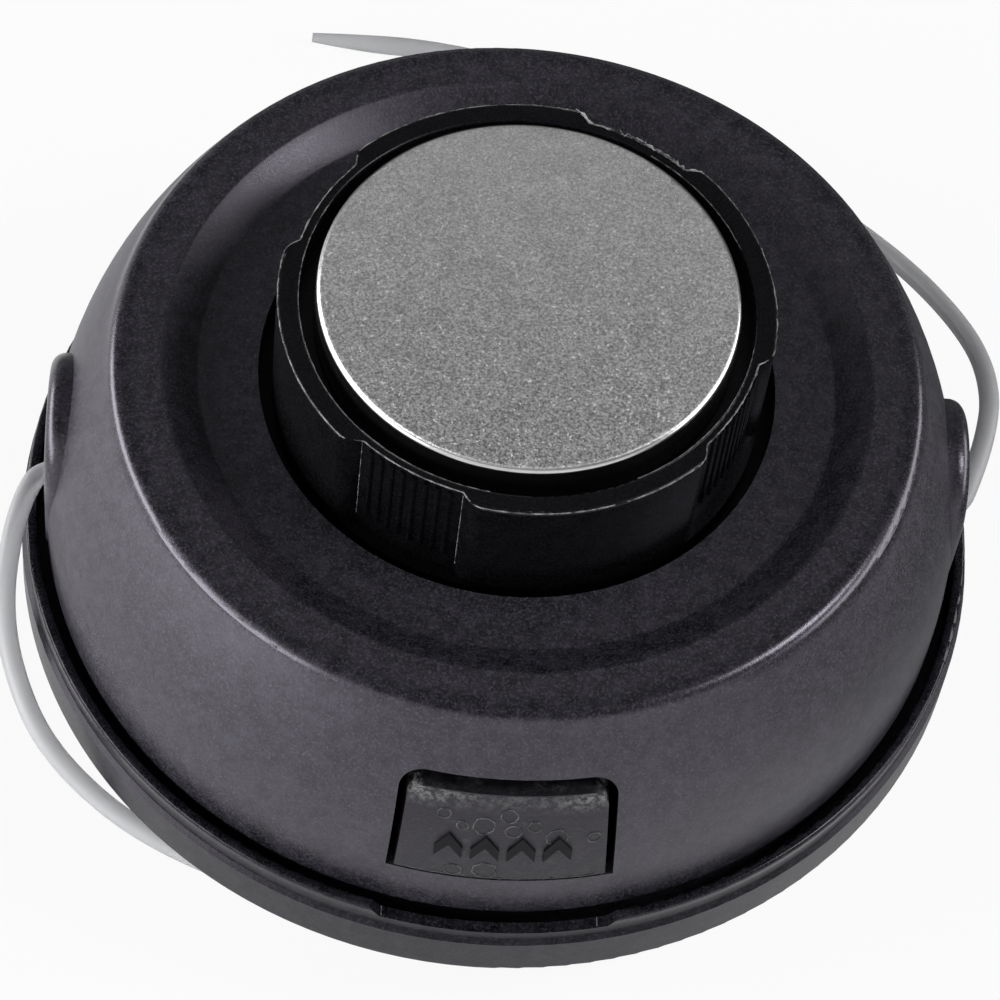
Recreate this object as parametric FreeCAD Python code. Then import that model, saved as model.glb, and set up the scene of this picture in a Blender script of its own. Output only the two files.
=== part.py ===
# Bump feed trimmer head, millimetres. +Z is the spin axis and points at the bump knob.
# The origin is the centre of the hub's drive face, which the head rests on.
# The latches lie on -Y and +Y, the two line outlets on -X and +X.
import math
import os

from FreeCAD import Vector
import Part

# Line
LINE_R = 1.2
LINE_PASSAGE_R = 1.6
BEND_SHARE = 0.45

# Base: rim, lip, floor, hub and guide post
RIM_R = 55.0
RIM_BOTTOM = 10.0
RIM_H = 9.5
RIM_ROUND = 0.8
RIM_STEP = 0.5
LIP_H = 2.8
LIP_WALL = 1.3
LIP_ROUND_SHARE = 0.4
FLOOR_T = 3.0
HUB_R = 17.0
HUB_CHAMFER = 1.0
HUB_FILLET = 2.0
POST_R = 8.5
POST_PROUD = 0.25
POST_ROOF = 4.0
POST_ROUND = 1.0
SHAFT_ROOM_R = 5.4
GUSSETS = 8
GUSSET_T = 2.4
GUSSET_INSET = 7.0
GUSSET_FOOT_Z = 2.5
NOTCH_HALF = 12.5
NOTCH_DEPTH = 1.3
NOTCH_BEVEL = 1.2

# Drive insert: hex nut with an M10 x 1.25 left-hand thread, bored at the minor diameter
INSERT_FLATS = 16.0
INSERT_H = 9.0
INSERT_BORE_R = 4.32
INSERT_FIT = 0.05

# Cover: an upright foot that bellies over into a leaning wall, on a skirt, with a stepped top
FOOT_GAP = 1.1
FOOT_SINK = 0.9
FOOT_STEP = 1.1
FOOT_BEVEL = 1.0
FOOT_ROUND = 0.8
SKIRT_WALL = 1.8
SKIRT_GAP = 0.3
COVER_H = 29.8
COVER_WALL = 2.2
COVER_ROUND_IN = 1.0
BELLY_H = 15.4
BELLY_SHARE = 0.79
TOP_INSET = 7.6
TOP_LAND = 5.3
SHOULDER_ROUND = 1.8
STEP_RUN = 4.0
STEP_DROP = 2.4
STEP_ROUND = 0.7

# Line outlets
OUTLET_RISE = 3.9
HOOD_R = 9.0
HOOD_DROP = 9.4
HOOD_SINK = 0.3
HOOD_LIFT = 1.2
HOOD_ROUND = 1.6
EYELET_FLANGE_R = 3.5
EYELET_FLANGE_T = 1.0
EYELET_BARREL_R = 2.6
EYELET_LENGTH = 3.6
EYELET_SINK = 0.2
EYELET_FIT = 0.05
EYELET_ROOM = 0.3
EYELET_ROUND_SHARE = 0.4
OUTLET_BOSS_WALL = 1.4
OUTLET_BOSS_T = 1.5

# Latch windows, tabs and their hinges
SILL_H = 7.1
WINDOW_DROP = 7.2
WINDOW_HALF_LOW = 12.3
WINDOW_HALF_HIGH = 11.5
WINDOW_ROUND = 3.0
SLIT_SIDE = 0.9
SLIT_TOP = 2.0
SLIT_SILL = 0.3
SILL_WALL = 1.6
TAB_T = 2.6
HOOK_H = 2.6
ARM_HALF = 8.0
ARM_GAP = 0.6
ARM_T = 2.2
PIVOT_INSET = 4.1
BARREL_R = 2.0
BARREL_GAP = 0.4
TRUNNION_R = 1.5
TRUNNION_FIT = 0.05
CHEEK_R = 2.8
CHEEK_T = 2.8
CHEEK_GAP = 0.4

# Spool, with two line chambers, and its indexing dogs
SPOOL_R = 36.5
CORE_R = 18.0
CORE_WALL = 2.2
FLANGE_T = 1.6
TOP_FLANGE_T = 2.25
DIVIDER_T = 1.5
WEB_T = 3.0
GUIDE_FIT = 0.1
NECK_WALL = 2.4
NECK_H = 4.7
NECK_ROUND = 0.6
KEYS = 4
KEY_W = 4.0
KEY_REACH = 1.6
KEY_DROP = 1.0
KEY_FIT = 0.2
PARK_SLOTS = 2
PARK_SLOT_W = 3.0
PARK_SLOT_DEPTH = 5.0
WINDING_DROP = 5.0
WINDING_FIT = 0.05
DOGS = 12
DOG_H = 1.75
DOG_HOLE_INSET = 0.9
DOG_RIM_INSET = 1.0
DOG_HALF = 2.6
DOG_RAMP = 1.8
DOG_GAP = 0.3
FLOOR_DOG_IN_R = 20.5
FLOOR_DOG_OUT_R = 28.0
FLOOR_DOG_HALF = 1.9
FLOOR_DOG_RAMP = 1.4
FLOOR_DOG_H = 2.6
SPOOL_DOG_H = 2.0
FLOOR_DOG_CLEAR = 4.4

# Feed spring and its washers
SPRING_R = 11.2
SPRING_WIRE_R = 0.8
SPRING_TURNS = 5
SPRING_SIDES = 6
WASHER_T = 1.0
WASHER_IN_R = 9.0
WASHER_OUT_R = 13.4

# Bump knob and its steel cap
KNOB_R = 27.0
KNOB_GAP = 1.6
KNOB_RISE = 11.6
KNOB_WALL = 3.8
KNOB_RING_W = 2.4
KNOB_ROUND = 0.4
KNOB_LOBES = 4
KNOB_LOBE_AT = 16.3
KNOB_LOBE_DEG = 52.5
KNOB_RECESS = 1.4
KNOB_RECESS_SINK = 1.5
EASE_DEG = 5.0
EASE_SWING = 0.6
EASE_DROP = 0.35
GROOVE_DEPTH = 4.1
PLATE_T = 3.5
SLEEVE_FIT = 0.1
SLEEVE_WALL = 1.7
SLEEVE_GAP = 1.8
SLEEVE_LIFT = 0.7
GRIP_RIBS = 8
GRIP_PITCH = 1.35
GRIP_RIB_R = 0.3
GRIP_LIFT = 1.5
GRIP_DROP = 0.6
CAP_RISE = 1.9
CAP_GROOVE = 1.7
CAP_WALL = 1.5
CAP_SKIRT = 5.5
CAP_ROUND = 0.7
CAP_FIT = 0.1

# How far a cutting tool runs past the face it opens, and how close counts as on a plane
CUT_OVER = 1.0
ON_PLANE = 1e-6

# Routes of the two free line ends, chosen by hand
TAIL_LEFT = [
    (-49.0, 0.0, 22.5), (-52.8, 0.0, 22.5), (-54.6, -4.0, 22.1), (-55.7, -9.5, 20.8),
    (-56.0, -16.0, 18.2), (-54.6, -22.4, 15.2), (-51.0, -29.2, 11.4), (-44.6, -34.6, 8.0),
    (-37.2, -38.8, 6.1), (-27.4, -41.9, 4.0), (-17.2, -42.8, 2.4), (-6.8, -41.4, 1.6),
    (3.6, -38.2, 1.35), (12.4, -33.4, 1.35), (19.8, -27.0, 1.35), (25.6, -19.4, 1.4),
]
TAIL_RIGHT = [
    (49.0, 0.0, 22.5), (53.0, 0.0, 22.5), (55.2, 5.4, 22.3), (57.2, 11.6, 21.4),
    (58.6, 18.4, 19.7), (58.2, 26.4, 17.2), (55.4, 34.6, 14.4), (50.6, 43.6, 11.2),
    (43.6, 52.6, 8.2), (34.6, 61.0, 5.6), (24.4, 68.6, 3.5), (13.4, 75.0, 2.1),
    (2.6, 79.4, 1.5), (-8.6, 81.7, 1.35), (-17.0, 82.0, 1.35), (-23.8, 82.5, 1.4),
]

# Heights that follow from the sizes above
FLOOR_TOP = RIM_BOTTOM + FLOOR_T
LIP_TOP = RIM_BOTTOM + RIM_H
RIM_STEP_Z = LIP_TOP - LIP_H
NOTCH_Z = LIP_TOP - NOTCH_DEPTH
FOOT_Z = LIP_TOP - FOOT_SINK
SKIRT_BOTTOM = FLOOR_TOP + SKIRT_GAP
BELLY_Z = FOOT_Z + BELLY_H
COVER_TOP = FOOT_Z + COVER_H
INNER_TOP = COVER_TOP - STEP_DROP
ROOF_UNDER = INNER_TOP - COVER_WALL
OUTLET_Z = FOOT_Z + OUTLET_RISE
HOOD_BOTTOM = FOOT_Z + HOOD_LIFT
HOOD_Z = COVER_TOP - HOOD_DROP - HOOD_R
WINDOW_BOTTOM = FOOT_Z + SILL_H
WINDOW_TOP = COVER_TOP - WINDOW_DROP
TAB_LOW = WINDOW_BOTTOM + SLIT_SILL
TAB_HIGH = WINDOW_TOP - SLIT_TOP
PIVOT_Z = FLOOR_TOP + BARREL_R + BARREL_GAP
SPOOL_BOTTOM = FLOOR_TOP + FLOOR_DOG_H + FLOOR_DOG_CLEAR + SPOOL_DOG_H
SPOOL_TOP = ROOF_UNDER - DOG_GAP - DOG_H
CHAMBER_H = (SPOOL_TOP - SPOOL_BOTTOM - FLANGE_T - DIVIDER_T - TOP_FLANGE_T) / 2
CHAMBER_LOW = SPOOL_BOTTOM + FLANGE_T
CHAMBER_HIGH = CHAMBER_LOW + CHAMBER_H + DIVIDER_T
WEB_BOTTOM = SPOOL_TOP - WEB_T
POST_TOP = SPOOL_TOP + POST_PROUD
SPRING_LOW = FLOOR_TOP + WASHER_T
SPRING_HIGH = WEB_BOTTOM - WASHER_T
KNOB_TOP = COVER_TOP + KNOB_RISE
KNOB_RECESS_Z = INNER_TOP - KNOB_RECESS_SINK
PLATE_TOP = KNOB_TOP - GROOVE_DEPTH
PLATE_BOTTOM = PLATE_TOP - PLATE_T
CAP_TOP = KNOB_TOP + CAP_RISE
BOSS_TOP = CAP_TOP - CAP_WALL

# Radii and angles that follow from the sizes above
LIP_R = RIM_R - RIM_STEP
LIP_IN_R = LIP_R - LIP_WALL
WALL_R = LIP_IN_R - FOOT_GAP
SKIRT_R = WALL_R - FOOT_STEP
SKIRT_IN_R = SKIRT_R - SKIRT_WALL
TOP_R = WALL_R - TOP_INSET
STEP_OUT_R = TOP_R - TOP_LAND
STEP_IN_R = STEP_OUT_R - STEP_RUN
LEAN = math.atan2(WALL_R - TOP_R, COVER_TOP - BELLY_Z)
BELLY_REACH = BELLY_SHARE * min(BELLY_H, math.hypot(WALL_R - TOP_R, COVER_TOP - BELLY_Z))
BELLY_ROUND = BELLY_REACH / math.tan(LEAN / 2)
HOOD_FACE = WALL_R - HOOD_SINK
EYELET_SEAT = HOOD_FACE - EYELET_SINK - EYELET_FLANGE_T
ARM_R = SKIRT_IN_R - ARM_GAP
PIVOT_Y = ARM_R - PIVOT_INSET
CHEEK_X = ARM_HALF + CHEEK_GAP
CAVITY_R = CORE_R - CORE_WALL
GUIDE_R = POST_R + GUIDE_FIT
WINDING_R = SPOOL_R - WINDING_DROP
KNOB_HOLE_R = KNOB_R + KNOB_GAP
KNOB_RECESS_R = KNOB_R - KNOB_RECESS
KNOB_RING_IN_R = KNOB_R - KNOB_RING_W
KNOB_IN_R = KNOB_R - KNOB_WALL
SLEEVE_OUT_R = KNOB_IN_R - SLEEVE_GAP
SLEEVE_IN_R = SLEEVE_OUT_R - SLEEVE_WALL
NECK_R = SLEEVE_IN_R - SLEEVE_FIT
DOG_IN_R = KNOB_HOLE_R + DOG_HOLE_INSET
DOG_OUT_R = SPOOL_R - DOG_RIM_INSET
CAP_R = KNOB_RING_IN_R - CAP_GROOVE
BOSS_R = CAP_R - CAP_WALL - CAP_FIT
AXIS = Vector(0, 0, 1)
ORIGIN = Vector(0, 0, 0)


def corner(before, here, after, radius):
    """Start, middle and end of the arc that rounds one corner of an outline."""
    back = (before - here).normalize()
    ahead = (after - here).normalize()
    half = back.getAngle(ahead) / 2
    reach = radius / math.tan(half)
    inward = (back + ahead).normalize()
    middle = here + inward * (radius / math.sin(half) - radius)
    return here + back * reach, middle, here + ahead * reach


def outline(corners):
    """Face in the XZ plane; a corner is (x, z), or (x, z, radius) where it is rounded."""
    points = [Vector(c[0], 0, c[1]) for c in corners]
    stops = []
    for i, c in enumerate(corners):
        if len(c) == 3:
            stops.append(corner(points[i - 1], points[i], points[(i + 1) % len(points)], c[2]))
        else:
            stops.append((points[i], None, points[i]))
    edges = []
    for i, (start, middle, end) in enumerate(stops):
        if middle:
            edges.append(Part.Arc(start, middle, end).toShape())
        following = stops[(i + 1) % len(stops)][0]
        edges.append(Part.LineSegment(end, following).toShape())
    return Part.Face(Part.Wire(edges))


def turned(corners):
    """Solid of revolution about the spin axis."""
    return outline(corners).revolve(ORIGIN, AXIS, 360)


def ring(inner, outer, bottom, top):
    return turned([(inner, bottom), (outer, bottom), (outer, top), (inner, top)])


def front(corners, near, far):
    """Prism of an XZ outline between two distances in front of the axis, towards -Y."""
    face = outline(corners)
    face.translate(Vector(0, -near, 0))
    return face.extrude(Vector(0, near - far, 0))


def front_box(half, bottom, top, near, far):
    return front([(-half, bottom), (half, bottom), (half, top), (-half, top)], near, far)


def spun(shape, degrees):
    copy = shape.copy()
    copy.rotate(ORIGIN, AXIS, degrees)
    return copy


def repeated(shape, count, first=0.0):
    return [spun(shape, first + 360.0 * i / count) for i in range(count)]


def polar(radius, degrees, z=0.0):
    angle = math.radians(degrees)
    return Vector(radius * math.cos(angle), radius * math.sin(angle), z)


def dog(inner, outer, half, ramp, bottom, top):
    """One ramped ratchet dog, standing from bottom to top, with its ramp towards +angle."""
    return front([(-half, bottom), (half, bottom), (half - ramp, top), (-half, top)], inner, outer)


def hexagon(flats, bottom, height):
    reach = flats / math.sqrt(3)
    corners = [polar(reach, 60 * i, bottom) for i in range(7)]
    return Part.Face(Part.makePolygon(corners)).extrude(Vector(0, 0, height))


def cross_pin(radius, half, y, z):
    """Cylinder along X, centred in front of the axis."""
    return Part.makeCylinder(radius, 2 * half, Vector(-half, -y, z), Vector(1, 0, 0))


def latch_cheeks():
    """Two lugs of the base that carry the front latch's trunnions."""
    lug = Part.makeCylinder(CHEEK_R, CHEEK_T, Vector(CHEEK_X, -PIVOT_Y, PIVOT_Z), Vector(1, 0, 0))
    foot = Part.makeBox(CHEEK_T, 2 * CHEEK_R, PIVOT_Z - FLOOR_TOP,
                        Vector(CHEEK_X, -PIVOT_Y - CHEEK_R, FLOOR_TOP))
    right = lug.fuse(foot)
    left = right.mirror(ORIGIN, Vector(1, 0, 0))
    hole = cross_pin(TRUNNION_R + TRUNNION_FIT, RIM_R, PIVOT_Y, PIVOT_Z)
    return right.fuse(left).cut(hole)


def lip_notch():
    """Gap in the rim's lip in front of a latch, with bevelled ends."""
    high = LIP_TOP + CUT_OVER
    spread = NOTCH_HALF + NOTCH_BEVEL * (high - NOTCH_Z) / NOTCH_DEPTH
    return front([(-NOTCH_HALF, NOTCH_Z), (NOTCH_HALF, NOTCH_Z), (spread, high), (-spread, high)],
                 SKIRT_R, RIM_R + CUT_OVER)


def skirt_guide():
    """Low ring that centres the cover's skirt, open at the latches."""
    guide_r = SKIRT_IN_R - SKIRT_GAP
    room_half = CHEEK_X + CHEEK_T + CHEEK_GAP
    room = front_box(room_half, FLOOR_TOP, LIP_TOP, 0, RIM_R)
    return ring(guide_r - SKIRT_WALL, guide_r, FLOOR_TOP, RIM_STEP_Z).cut([room, spun(room, 180)])


def gusset():
    inner = HUB_R - HUB_CHAMFER
    face = outline([
        (inner, RIM_BOTTOM), (inner, GUSSET_FOOT_Z), (HUB_R, GUSSET_FOOT_Z), (RIM_R - GUSSET_INSET, RIM_BOTTOM),
    ])
    face.translate(Vector(0, -GUSSET_T / 2, 0))
    return face.extrude(Vector(0, GUSSET_T, 0))


def base_housing():
    lip_round = LIP_WALL * LIP_ROUND_SHARE
    roof = POST_TOP - POST_ROOF
    body = turned([
        (SHAFT_ROOM_R, 0), (HUB_R - HUB_CHAMFER, 0), (HUB_R, HUB_CHAMFER), (HUB_R, RIM_BOTTOM, HUB_FILLET),
        (RIM_R, RIM_BOTTOM, RIM_ROUND), (RIM_R, RIM_STEP_Z - RIM_STEP), (LIP_R, RIM_STEP_Z),
        (LIP_R, LIP_TOP, lip_round), (LIP_IN_R, LIP_TOP, lip_round), (LIP_IN_R, FLOOR_TOP),
        (POST_R, FLOOR_TOP), (POST_R, POST_TOP, POST_ROUND), (0, POST_TOP), (0, roof), (SHAFT_ROOM_R, roof),
    ])
    floor_dog = dog(FLOOR_DOG_IN_R, FLOOR_DOG_OUT_R, FLOOR_DOG_HALF, FLOOR_DOG_RAMP, FLOOR_TOP,
                    FLOOR_TOP + FLOOR_DOG_H)
    cheeks = latch_cheeks()
    added = [skirt_guide(), cheeks, spun(cheeks, 180)]
    added += repeated(gusset(), GUSSETS, 180.0 / GUSSETS)
    added += repeated(floor_dog, DOGS, 180.0 / DOGS)
    pocket = hexagon(INSERT_FLATS + 2 * INSERT_FIT, 0, INSERT_H)
    cuts = [pocket] + repeated(lip_notch(), 2)
    return body.fuse(added).cut(cuts).removeSplitter()


def drive_insert():
    bore = Part.makeCylinder(INSERT_BORE_R, INSERT_H)
    return hexagon(INSERT_FLATS, 0, INSERT_H).cut(bore)


def wall_corners(inset):
    """Belly and top corners of the cover's wall, drawn in by an inset."""
    belly = (WALL_R - inset, BELLY_Z - inset * math.tan(LEAN / 2), BELLY_ROUND - inset)
    top = (TOP_R - inset * math.tan(math.pi / 4 - LEAN / 2), COVER_TOP - inset)
    return belly, top


def wall_solid(inset):
    """All that lies inside the cover's wall, drawn in by an inset."""
    belly, top = wall_corners(inset)
    return turned([(0, FOOT_Z), (belly[0], FOOT_Z), belly, top, (0, top[1])])


def latch_window():
    return front([
        (-WINDOW_HALF_LOW, WINDOW_BOTTOM), (WINDOW_HALF_LOW, WINDOW_BOTTOM),
        (WINDOW_HALF_HIGH, WINDOW_TOP, WINDOW_ROUND), (-WINDOW_HALF_HIGH, WINDOW_TOP, WINDOW_ROUND),
    ], SPOOL_R, RIM_R)


def sill_relief():
    """Space that thins the strip below a window to the sill's wall."""
    strip = front_box(WINDOW_HALF_LOW, FOOT_Z + FOOT_BEVEL, WINDOW_BOTTOM, SPOOL_R, RIM_R)
    return wall_solid(SILL_WALL).common(strip)


def hood():
    """Arched boss around the front outlet, later turned to each side."""
    arch = Part.Arc(Vector(HOOD_R, 0, HOOD_Z), Vector(0, 0, HOOD_Z + HOOD_R), Vector(-HOOD_R, 0, HOOD_Z))
    feet = [Vector(-HOOD_R, 0, HOOD_Z), Vector(-HOOD_R, 0, HOOD_BOTTOM), Vector(HOOD_R, 0, HOOD_BOTTOM),
            Vector(HOOD_R, 0, HOOD_Z)]
    sides = [Part.LineSegment(a, b).toShape() for a, b in zip(feet, feet[1:])]
    face = Part.Face(Part.Wire([arch.toShape()] + sides))
    face.translate(Vector(0, -SPOOL_R, 0))
    block = face.extrude(Vector(0, SPOOL_R - HOOD_FACE, 0))
    rim_edges = []
    for edge in block.Edges:
        on_face = all(abs(v.Point.y + HOOD_FACE) < ON_PLANE for v in edge.Vertexes)
        if on_face and edge.BoundBox.ZMax > HOOD_BOTTOM + ON_PLANE:
            rim_edges.append(edge)
    return block.makeFillet(HOOD_ROUND, rim_edges)


def outlet_bar(radius, near, far):
    """Cylinder on the front outlet's line, later turned to each side."""
    return Part.makeCylinder(radius, far - near, Vector(0, -near, OUTLET_Z), Vector(0, -1, 0))


def cover():
    belly, top = wall_corners(0)
    outside = turned([
        (0, SKIRT_BOTTOM), (SKIRT_R, SKIRT_BOTTOM), (SKIRT_R, FOOT_Z - FOOT_BEVEL, FOOT_ROUND),
        (WALL_R, FOOT_Z, FOOT_ROUND), belly, (*top, SHOULDER_ROUND), (STEP_OUT_R, COVER_TOP, STEP_ROUND),
        (STEP_IN_R, INNER_TOP, STEP_ROUND), (0, INNER_TOP),
    ])
    belly_in, top_in = wall_corners(COVER_WALL)
    step_shift = COVER_WALL / 2
    inside = turned([
        (0, RIM_BOTTOM), (SKIRT_IN_R, RIM_BOTTOM), (SKIRT_IN_R, FOOT_Z), (belly_in[0], FOOT_Z + FOOT_BEVEL),
        belly_in, (*top_in, COVER_ROUND_IN), (STEP_OUT_R + step_shift, top_in[1]),
        (STEP_IN_R + step_shift, ROOF_UNDER), (0, ROOF_UNDER),
    ])
    wall_in = belly_in[0]
    boss = outlet_bar(EYELET_BARREL_R + OUTLET_BOSS_WALL, wall_in - OUTLET_BOSS_T, EYELET_SEAT)
    bore = outlet_bar(EYELET_BARREL_R + EYELET_FIT, SPOOL_R, RIM_R)
    seat = outlet_bar(EYELET_FLANGE_R + EYELET_ROOM, EYELET_SEAT, RIM_R)
    roof_dog = dog(DOG_IN_R, DOG_OUT_R, DOG_HALF, DOG_RAMP, ROOF_UNDER, SPOOL_TOP + DOG_GAP)
    sides = repeated(hood(), 2, 90)
    shell = outside.fuse(sides).cut([inside, Part.makeCylinder(KNOB_HOLE_R, COVER_TOP)])
    shell = shell.fuse(repeated(boss, 2, 90) + repeated(roof_dog, DOGS))
    cuts = repeated(bore.fuse(seat), 2, 90) + repeated(latch_window(), 2) + repeated(sill_relief(), 2)
    return shell.cut(cuts).removeSplitter()


def eyelet(side):
    """Flanged bush; side is 1 for +X and -1 for -X."""
    face_out = EYELET_SEAT + EYELET_FLANGE_T
    face_in = face_out - EYELET_LENGTH
    end_round = EYELET_ROUND_SHARE * (EYELET_BARREL_R - LINE_PASSAGE_R)
    rim_round = EYELET_ROUND_SHARE * EYELET_FLANGE_T
    mouth_round = EYELET_ROUND_SHARE * (EYELET_FLANGE_R - LINE_PASSAGE_R)
    bush = turned([
        (LINE_PASSAGE_R, face_in, end_round), (EYELET_BARREL_R, face_in, end_round), (EYELET_BARREL_R, EYELET_SEAT),
        (EYELET_FLANGE_R, EYELET_SEAT), (EYELET_FLANGE_R, face_out, rim_round),
        (LINE_PASSAGE_R, face_out, mouth_round),
    ])
    bush.rotate(ORIGIN, Vector(0, 1, 0), 90 * side)
    bush.translate(Vector(0, 0, OUTLET_Z))
    return bush


def latch(turn):
    """Press tab, hooked over its sill, on an arm that swings in at its foot."""
    half_low = WINDOW_HALF_LOW - SLIT_SIDE
    half_high = WINDOW_HALF_HIGH - SLIT_SIDE
    tab_round = WINDOW_ROUND - SLIT_SIDE
    plate = front([
        (-half_low, TAB_LOW), (half_low, TAB_LOW), (half_high, TAB_HIGH, tab_round), (-half_high, TAB_HIGH, tab_round),
    ], SPOOL_R, RIM_R)
    tab = wall_solid(0).cut(wall_solid(TAB_T)).common(plate)
    arm_low = PIVOT_Z - BARREL_R
    hook_top = TAB_LOW + HOOK_H
    arm = front_box(ARM_HALF, arm_low, hook_top, SPOOL_R, RIM_R)
    stem = ring(ARM_R - ARM_T, ARM_R, arm_low, hook_top).common(arm)
    hook = ring(ARM_R - ARM_T, WALL_R - TAB_T / 2, TAB_LOW, hook_top).common(arm)
    foot = front_box(ARM_HALF, arm_low, PIVOT_Z + BARREL_R, PIVOT_Y, ARM_R)
    foot = foot.common(Part.makeCylinder(ARM_R, LIP_TOP))
    barrel = cross_pin(BARREL_R, ARM_HALF, PIVOT_Y, PIVOT_Z)
    trunnion = cross_pin(TRUNNION_R, CHEEK_X + CHEEK_T, PIVOT_Y, PIVOT_Z)
    return spun(tab.fuse([stem, hook, foot, barrel, trunnion]).removeSplitter(), turn)


def spool():
    low_top = CHAMBER_LOW + CHAMBER_H
    high_top = CHAMBER_HIGH + CHAMBER_H
    neck_in = NECK_R - NECK_WALL
    neck_top = SPOOL_TOP + NECK_H
    body = turned([
        (CAVITY_R, SPOOL_BOTTOM), (SPOOL_R, SPOOL_BOTTOM), (SPOOL_R, CHAMBER_LOW), (CORE_R, CHAMBER_LOW),
        (CORE_R, low_top), (SPOOL_R, low_top), (SPOOL_R, CHAMBER_HIGH), (CORE_R, CHAMBER_HIGH),
        (CORE_R, high_top), (SPOOL_R, high_top), (SPOOL_R, SPOOL_TOP), (NECK_R, SPOOL_TOP),
        (NECK_R, neck_top, NECK_ROUND), (neck_in, neck_top), (neck_in, SPOOL_TOP), (GUIDE_R, SPOOL_TOP),
        (GUIDE_R, WEB_BOTTOM), (CAVITY_R, WEB_BOTTOM),
    ])
    top_dog = dog(DOG_IN_R, DOG_OUT_R, DOG_HALF, DOG_RAMP, SPOOL_TOP, SPOOL_TOP + DOG_H)
    low_dog = dog(FLOOR_DOG_IN_R, FLOOR_DOG_OUT_R, FLOOR_DOG_HALF, FLOOR_DOG_RAMP, SPOOL_BOTTOM,
                  SPOOL_BOTTOM - SPOOL_DOG_H)
    key = Part.makeBox(KEY_REACH + NECK_WALL / 2, KEY_W, NECK_H - KEY_DROP,
                       Vector(NECK_R - NECK_WALL / 2, -KEY_W / 2, SPOOL_TOP))
    slot = Part.makeBox(PARK_SLOT_DEPTH, PARK_SLOT_W, SPOOL_TOP - SPOOL_BOTTOM,
                        Vector(SPOOL_R - PARK_SLOT_DEPTH, -PARK_SLOT_W / 2, SPOOL_BOTTOM))
    added = repeated(top_dog, DOGS, 180.0 / DOGS) + repeated(low_dog, DOGS) + repeated(key, KEYS)
    return body.fuse(added).cut(repeated(slot, PARK_SLOTS)).removeSplitter()


def line_winding(bottom):
    """Wound line in one chamber, scalloped by its outer turns."""
    low = bottom + WINDING_FIT
    high = bottom + CHAMBER_H - WINDING_FIT
    turns_high = round(CHAMBER_H / (2 * LINE_R))
    pitch = (high - low) / turns_high
    rim_r = WINDING_R - pitch / 2
    inner = CORE_R + WINDING_FIT
    edges = []
    for i in range(turns_high):
        z = low + i * pitch
        edges.append(Part.Arc(Vector(rim_r, 0, z), Vector(WINDING_R, 0, z + pitch / 2),
                              Vector(rim_r, 0, z + pitch)).toShape())
    stops = [Vector(rim_r, 0, high), Vector(inner, 0, high), Vector(inner, 0, low), Vector(rim_r, 0, low)]
    edges += [Part.LineSegment(a, b).toShape() for a, b in zip(stops, stops[1:])]
    return Part.Face(Part.Wire(edges)).revolve(ORIGIN, AXIS, 360)


def tube(route, radius):
    """Round tube of straight runs and tangent arcs, each arc as large as its two runs allow."""
    edges = []
    bends = []
    start = route[0]
    for before, here, after in zip(route, route[1:], route[2:]):
        reach = BEND_SHARE * min(before.distanceToPoint(here), here.distanceToPoint(after))
        opening = (before - here).getAngle(after - here)
        bend = reach * math.tan(opening / 2)
        first, middle, last = corner(before, here, after, bend)
        edges.append(Part.LineSegment(start, first).toShape())
        edges.append(Part.Arc(first, middle, last).toShape())
        bends.append(round(bend, 1))
        start = last
    edges.append(Part.LineSegment(start, route[-1]).toShape())
    path = Part.Wire(edges)
    section = Part.Wire(Part.makeCircle(radius, route[0], route[1] - route[0]))
    return path.makePipeShell([section], True, False), path.Length, bends


def feed_spring():
    """Round-wire compression spring between its two washers."""
    low = SPRING_LOW + SPRING_WIRE_R
    height = SPRING_HIGH - SPRING_WIRE_R - low
    count = SPRING_TURNS * SPRING_SIDES
    reach = SPRING_R / math.cos(math.pi / SPRING_SIDES)
    route = [polar(reach, 360.0 * i / SPRING_SIDES, low + height * i / count) for i in range(count + 1)]
    return tube(route, SPRING_WIRE_R)[0]


def washer(bottom):
    return ring(WASHER_IN_R, WASHER_OUT_R, bottom, bottom + WASHER_T)


def knob_recess():
    """Space between two lobes, centred on +X, with the lobes eased down into it."""
    half = 180.0 / KNOB_LOBES - KNOB_LOBE_DEG / 2
    mid_r = KNOB_R - EASE_DROP * KNOB_RECESS
    mid = half - EASE_DEG * EASE_SWING
    floor_half = half - EASE_DEG
    far = KNOB_R + CUT_OVER
    arcs = [
        (polar(KNOB_R, -half), polar(mid_r, -mid), polar(KNOB_RECESS_R, -floor_half)),
        (polar(KNOB_RECESS_R, -floor_half), polar(KNOB_RECESS_R, 0), polar(KNOB_RECESS_R, floor_half)),
        (polar(KNOB_RECESS_R, floor_half), polar(mid_r, mid), polar(KNOB_R, half)),
        (polar(far, half), polar(far, 0), polar(far, -half)),
    ]
    edges = [Part.Arc(*stops).toShape() for stops in arcs]
    edges.insert(3, Part.LineSegment(polar(KNOB_R, half), polar(far, half)).toShape())
    edges.append(Part.LineSegment(polar(far, -half), polar(KNOB_R, -half)).toShape())
    face = Part.Face(Part.Wire(edges))
    face.translate(Vector(0, 0, KNOB_RECESS_Z))
    return face.extrude(Vector(0, 0, KNOB_TOP + CUT_OVER - KNOB_RECESS_Z))


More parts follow.
